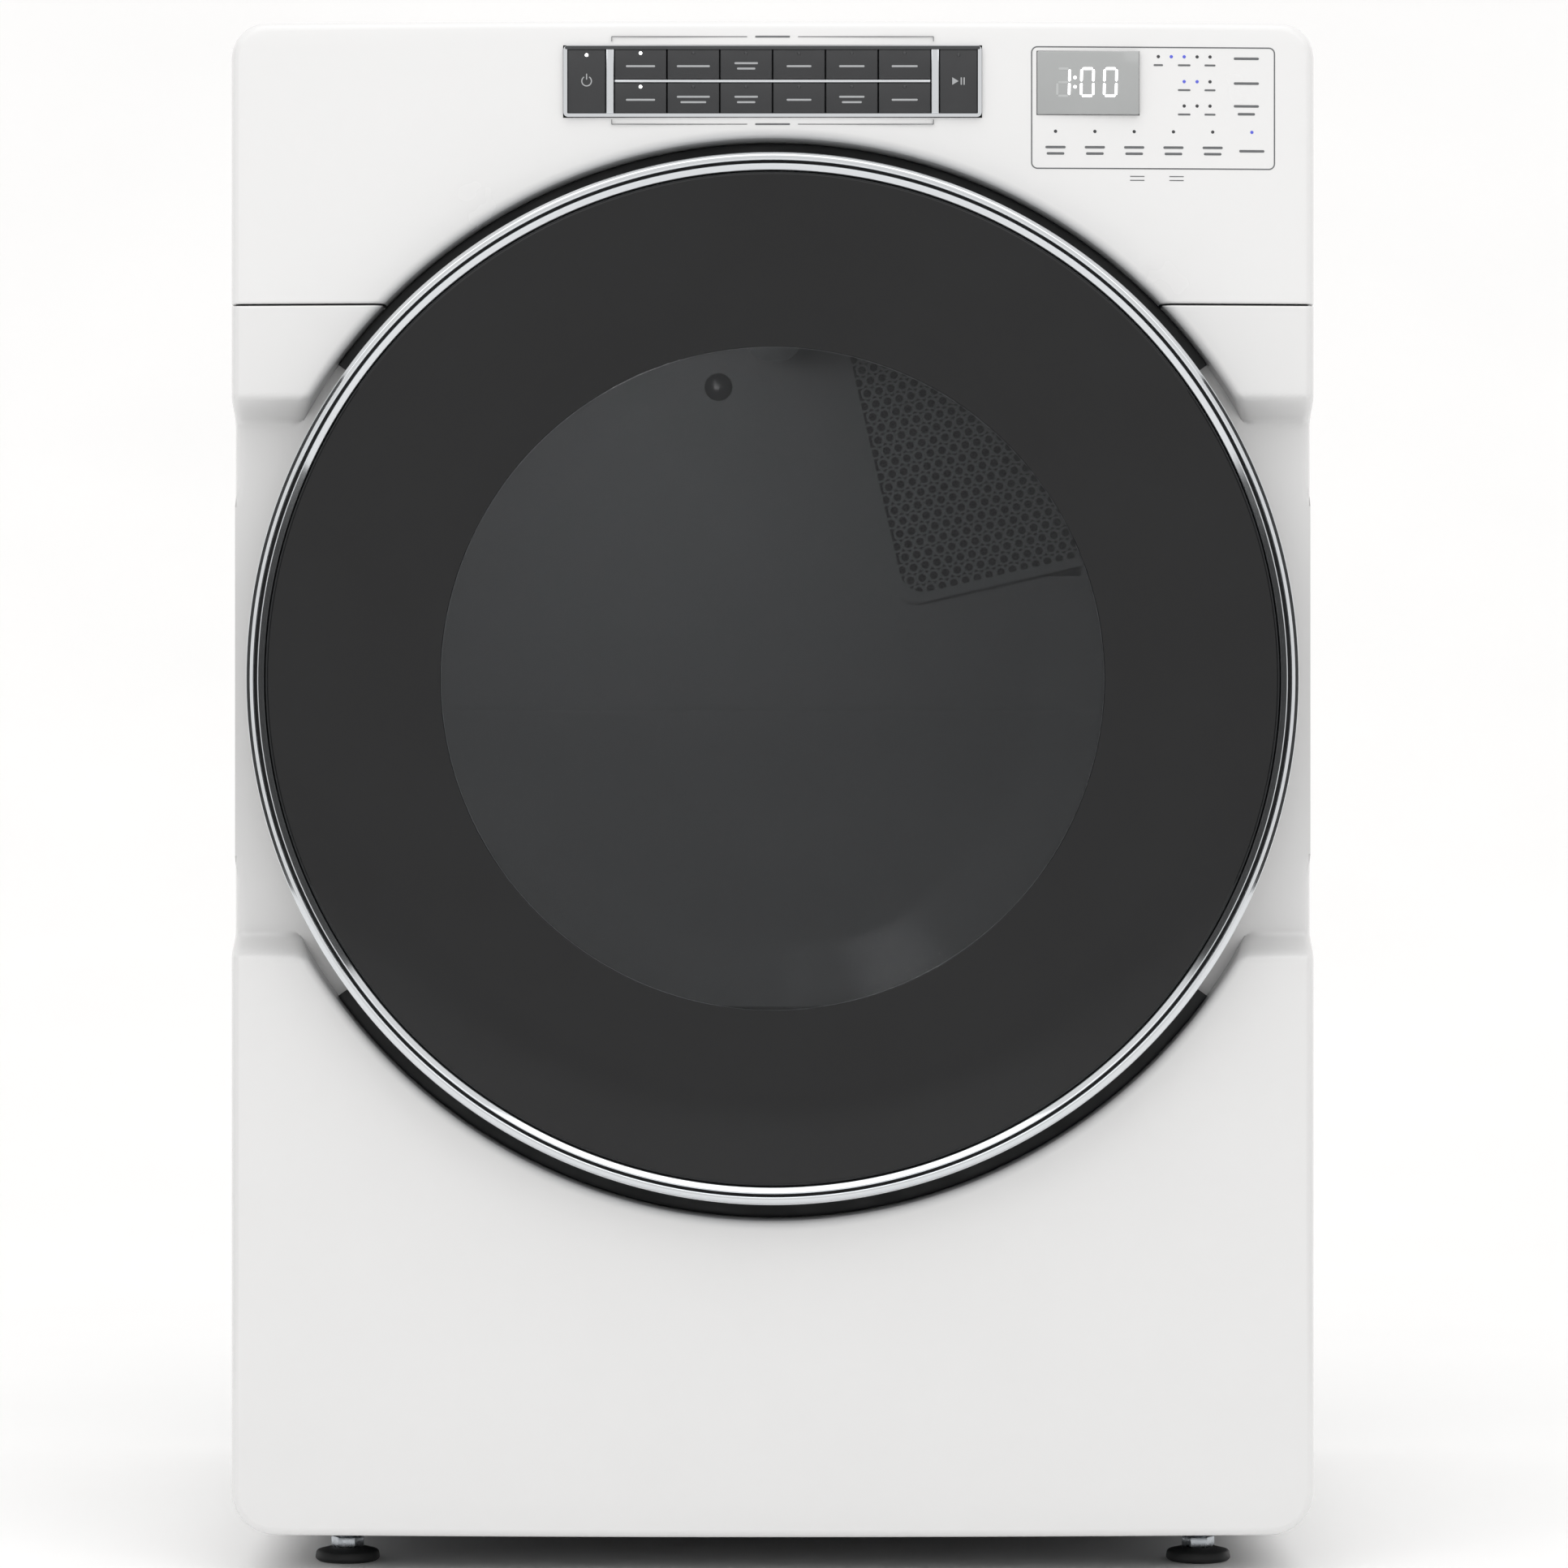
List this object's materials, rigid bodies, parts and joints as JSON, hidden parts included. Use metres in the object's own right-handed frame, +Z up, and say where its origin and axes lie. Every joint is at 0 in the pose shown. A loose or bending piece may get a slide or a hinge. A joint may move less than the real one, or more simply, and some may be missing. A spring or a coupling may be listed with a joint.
{
  "type": "clothes dryer",
  "caption": "Front-loading vented clothes dryer: white cabinet, round glazed side-hinged door, key strip and display, with drum, belt drive, blower, lint filter and levelling feet.",
  "frame": {"origin": "on the floor, at the middle of the dryer's box in width and depth", "axes": "+Z up, -Y towards a person who faces the door, +X to that person's right"},
  "size_m": [0.686, 0.787, 0.984],
  "materials": {
    "white_enamel": "gloss baked enamel on steel",
    "white_moulding": "gloss moulded plastic",
    "bright_trim": "bright plated plastic",
    "key_black": "dark gloss plastic",
    "smoked_glass": "dark tempered glass, printed black round the window",
    "window_grey": "grey display pane",
    "liner_grey": "moulded grey plastic",
    "clear_bowl": "clear moulded bowl",
    "galvanised": "galvanised sheet steel",
    "drum_steel": "brushed stainless steel",
    "bright_steel": "turned steel",
    "lifter_plastic": "moulded pale grey plastic",
    "housing_plastic": "moulded dark plastic",
    "felt": "pressed wool felt",
    "belt_rubber": "ribbed rubber",
    "motor_case": "painted steel shell",
    "board_green": "coated glass-fibre board",
    "duct_aluminium": "drawn sheet aluminium"
  },
  "bodies": {
    "cabinet": {"front_panel": "white_enamel", "console_fascia": "white_moulding", "console_bezel": "bright_trim", "display_window": "window_grey", "control_board": "board_green", "door_catch": "housing_plastic", "hinge_bracket": "bright_steel", "hinge_pin": "bright_steel", "door_seal": "belt_rubber", "side_panel_left": "white_enamel", "side_panel_right": "white_enamel", "top_panel": "white_enamel", "back_panel": "galvanised", "base_pan": "galvanised", "front_bulkhead": "galvanised", "rear_bulkhead": "galvanised", "inlet_grille": "galvanised", "heater_box": "galvanised", "drum_seals": "felt", "roller_shafts": "bright_steel", "drive_motor": "motor_case", "blower_housing": "housing_plastic", "exhaust_duct": "duct_aluminium", "lint_chute": "housing_plastic", "drum_belt": "belt_rubber", "terminal_cover": "white_enamel"},
    "door": {"door_ring": "bright_trim", "door_glass": "smoked_glass", "door_liner": "liner_grey", "door_bowl": "clear_bowl", "door_strike": "bright_steel", "door_hinge_leaf": "bright_steel"},
    "drum_body": {"drum": "drum_steel", "drum_baffles": "lifter_plastic"},
    "rotor": {"motor_shaft": "bright_steel", "blower_wheel": "housing_plastic"},
    "roller_left": {"drum_roller_left": "belt_rubber"},
    "roller_right": {"drum_roller_right": "belt_rubber"},
    "tensioner": {"idler_arm": "bright_steel"},
    "idler": {"idler_pulley": "housing_plastic"},
    "filter": {"lint_filter": "housing_plastic"},
    "power_key_body": {"power_key": "key_black"},
    "start_key_body": {"start_key": "key_black"},
    "load_key_1_body": {"load_key_1": "key_black"},
    "load_key_2_body": {"load_key_2": "key_black"},
    "load_key_3_body": {"load_key_3": "key_black"},
    "load_key_4_body": {"load_key_4": "key_black"},
    "load_key_5_body": {"load_key_5": "key_black"},
    "load_key_6_body": {"load_key_6": "key_black"},
    "cycle_key_1_body": {"cycle_key_1": "key_black"},
    "cycle_key_2_body": {"cycle_key_2": "key_black"},
    "cycle_key_3_body": {"cycle_key_3": "key_black"},
    "cycle_key_4_body": {"cycle_key_4": "key_black"},
    "cycle_key_5_body": {"cycle_key_5": "key_black"},
    "cycle_key_6_body": {"cycle_key_6": "key_black"},
    "foot_front_left_body": {"foot_front_left": "belt_rubber"},
    "foot_front_right_body": {"foot_front_right": "belt_rubber"},
    "foot_rear_left_body": {"foot_rear_left": "belt_rubber"},
    "foot_rear_right_body": {"foot_rear_right": "belt_rubber"}
  },
  "joints": [
    {"name": "door_hinge", "type": "hinge", "parent": "cabinet", "child": "door", "pos_m": [0.307, -0.362, 0.568], "axis": [0, 0, 1], "range_deg": [0, 110]},
    {"name": "drum_spin", "type": "hinge", "parent": "cabinet", "child": "drum_body", "pos_m": [0, 0, 0.568], "axis": [0, 1, 0], "continuous": true},
    {"name": "motor_spin", "type": "hinge", "parent": "cabinet", "child": "rotor", "pos_m": [0.125, 0, 0.147], "axis": [0, 1, 0], "continuous": true},
    {"name": "roller_left_spin", "type": "hinge", "parent": "cabinet", "child": "roller_left", "pos_m": [-0.178, 0.285, 0.25796], "axis": [0, 1, 0], "continuous": true},
    {"name": "roller_right_spin", "type": "hinge", "parent": "cabinet", "child": "roller_right", "pos_m": [0.178, 0.285, 0.25796], "axis": [0, 1, 0], "continuous": true},
    {"name": "idler_swing", "type": "hinge", "parent": "cabinet", "child": "tensioner", "pos_m": [0.1, 0.017, 0.084], "axis": [0, -1, 0], "range_deg": [0, 8], "stiffness_Nm_per_rad": 20, "springref_deg": -11.46},
    {"name": "idler_spin", "type": "hinge", "parent": "tensioner", "child": "idler", "pos_m": [0.066, 0.008, 0.178], "axis": [0, 1, 0], "continuous": true},
    {"name": "filter_slide", "type": "slide", "parent": "cabinet", "child": "filter", "axis": [0, 0, 1], "range_m": [0, 0.2]},
    {"name": "power_key_press", "type": "slide", "parent": "cabinet", "child": "power_key_body", "axis": [0, 1, 0], "range_m": [0, 0.0012], "stiffness_N_per_m": 600, "springref_m": -0.001},
    {"name": "start_key_press", "type": "slide", "parent": "cabinet", "child": "start_key_body", "axis": [0, 1, 0], "range_m": [0, 0.0012], "stiffness_N_per_m": 600, "springref_m": -0.001},
    {"name": "load_key_1_press", "type": "slide", "parent": "cabinet", "child": "load_key_1_body", "axis": [0, 1, 0], "range_m": [0, 0.0012], "stiffness_N_per_m": 600, "springref_m": -0.001},
    {"name": "load_key_2_press", "type": "slide", "parent": "cabinet", "child": "load_key_2_body", "axis": [0, 1, 0], "range_m": [0, 0.0012], "stiffness_N_per_m": 600, "springref_m": -0.001},
    {"name": "load_key_3_press", "type": "slide", "parent": "cabinet", "child": "load_key_3_body", "axis": [0, 1, 0], "range_m": [0, 0.0012], "stiffness_N_per_m": 600, "springref_m": -0.001},
    {"name": "load_key_4_press", "type": "slide", "parent": "cabinet", "child": "load_key_4_body", "axis": [0, 1, 0], "range_m": [0, 0.0012], "stiffness_N_per_m": 600, "springref_m": -0.001},
    {"name": "load_key_5_press", "type": "slide", "parent": "cabinet", "child": "load_key_5_body", "axis": [0, 1, 0], "range_m": [0, 0.0012], "stiffness_N_per_m": 600, "springref_m": -0.001},
    {"name": "load_key_6_press", "type": "slide", "parent": "cabinet", "child": "load_key_6_body", "axis": [0, 1, 0], "range_m": [0, 0.0012], "stiffness_N_per_m": 600, "springref_m": -0.001},
    {"name": "cycle_key_1_press", "type": "slide", "parent": "cabinet", "child": "cycle_key_1_body", "axis": [0, 1, 0], "range_m": [0, 0.0012], "stiffness_N_per_m": 600, "springref_m": -0.001},
    {"name": "cycle_key_2_press", "type": "slide", "parent": "cabinet", "child": "cycle_key_2_body", "axis": [0, 1, 0], "range_m": [0, 0.0012], "stiffness_N_per_m": 600, "springref_m": -0.001},
    {"name": "cycle_key_3_press", "type": "slide", "parent": "cabinet", "child": "cycle_key_3_body", "axis": [0, 1, 0], "range_m": [0, 0.0012], "stiffness_N_per_m": 600, "springref_m": -0.001},
    {"name": "cycle_key_4_press", "type": "slide", "parent": "cabinet", "child": "cycle_key_4_body", "axis": [0, 1, 0], "range_m": [0, 0.0012], "stiffness_N_per_m": 600, "springref_m": -0.001},
    {"name": "cycle_key_5_press", "type": "slide", "parent": "cabinet", "child": "cycle_key_5_body", "axis": [0, 1, 0], "range_m": [0, 0.0012], "stiffness_N_per_m": 600, "springref_m": -0.001},
    {"name": "cycle_key_6_press", "type": "slide", "parent": "cabinet", "child": "cycle_key_6_body", "axis": [0, 1, 0], "range_m": [0, 0.0012], "stiffness_N_per_m": 600, "springref_m": -0.001},
    {"name": "foot_front_left_height", "type": "slide", "parent": "cabinet", "child": "foot_front_left_body", "axis": [0, 0, -1], "range_m": [0, 0.02]},
    {"name": "foot_front_right_height", "type": "slide", "parent": "cabinet", "child": "foot_front_right_body", "axis": [0, 0, -1], "range_m": [0, 0.02]},
    {"name": "foot_rear_left_height", "type": "slide", "parent": "cabinet", "child": "foot_rear_left_body", "axis": [0, 0, -1], "range_m": [0, 0.02]},
    {"name": "foot_rear_right_height", "type": "slide", "parent": "cabinet", "child": "foot_rear_right_body", "axis": [0, 0, -1], "range_m": [0, 0.02]}
  ],
  "couplings": [
    {"joint": "motor_spin", "follows": "drum_spin", "ratio": 24.785},
    {"joint": "roller_left_spin", "follows": "drum_spin", "ratio": -9.2057},
    {"joint": "roller_right_spin", "follows": "drum_spin", "ratio": -9.2057},
    {"joint": "idler_spin", "follows": "drum_spin", "ratio": -12.888}
  ]
}
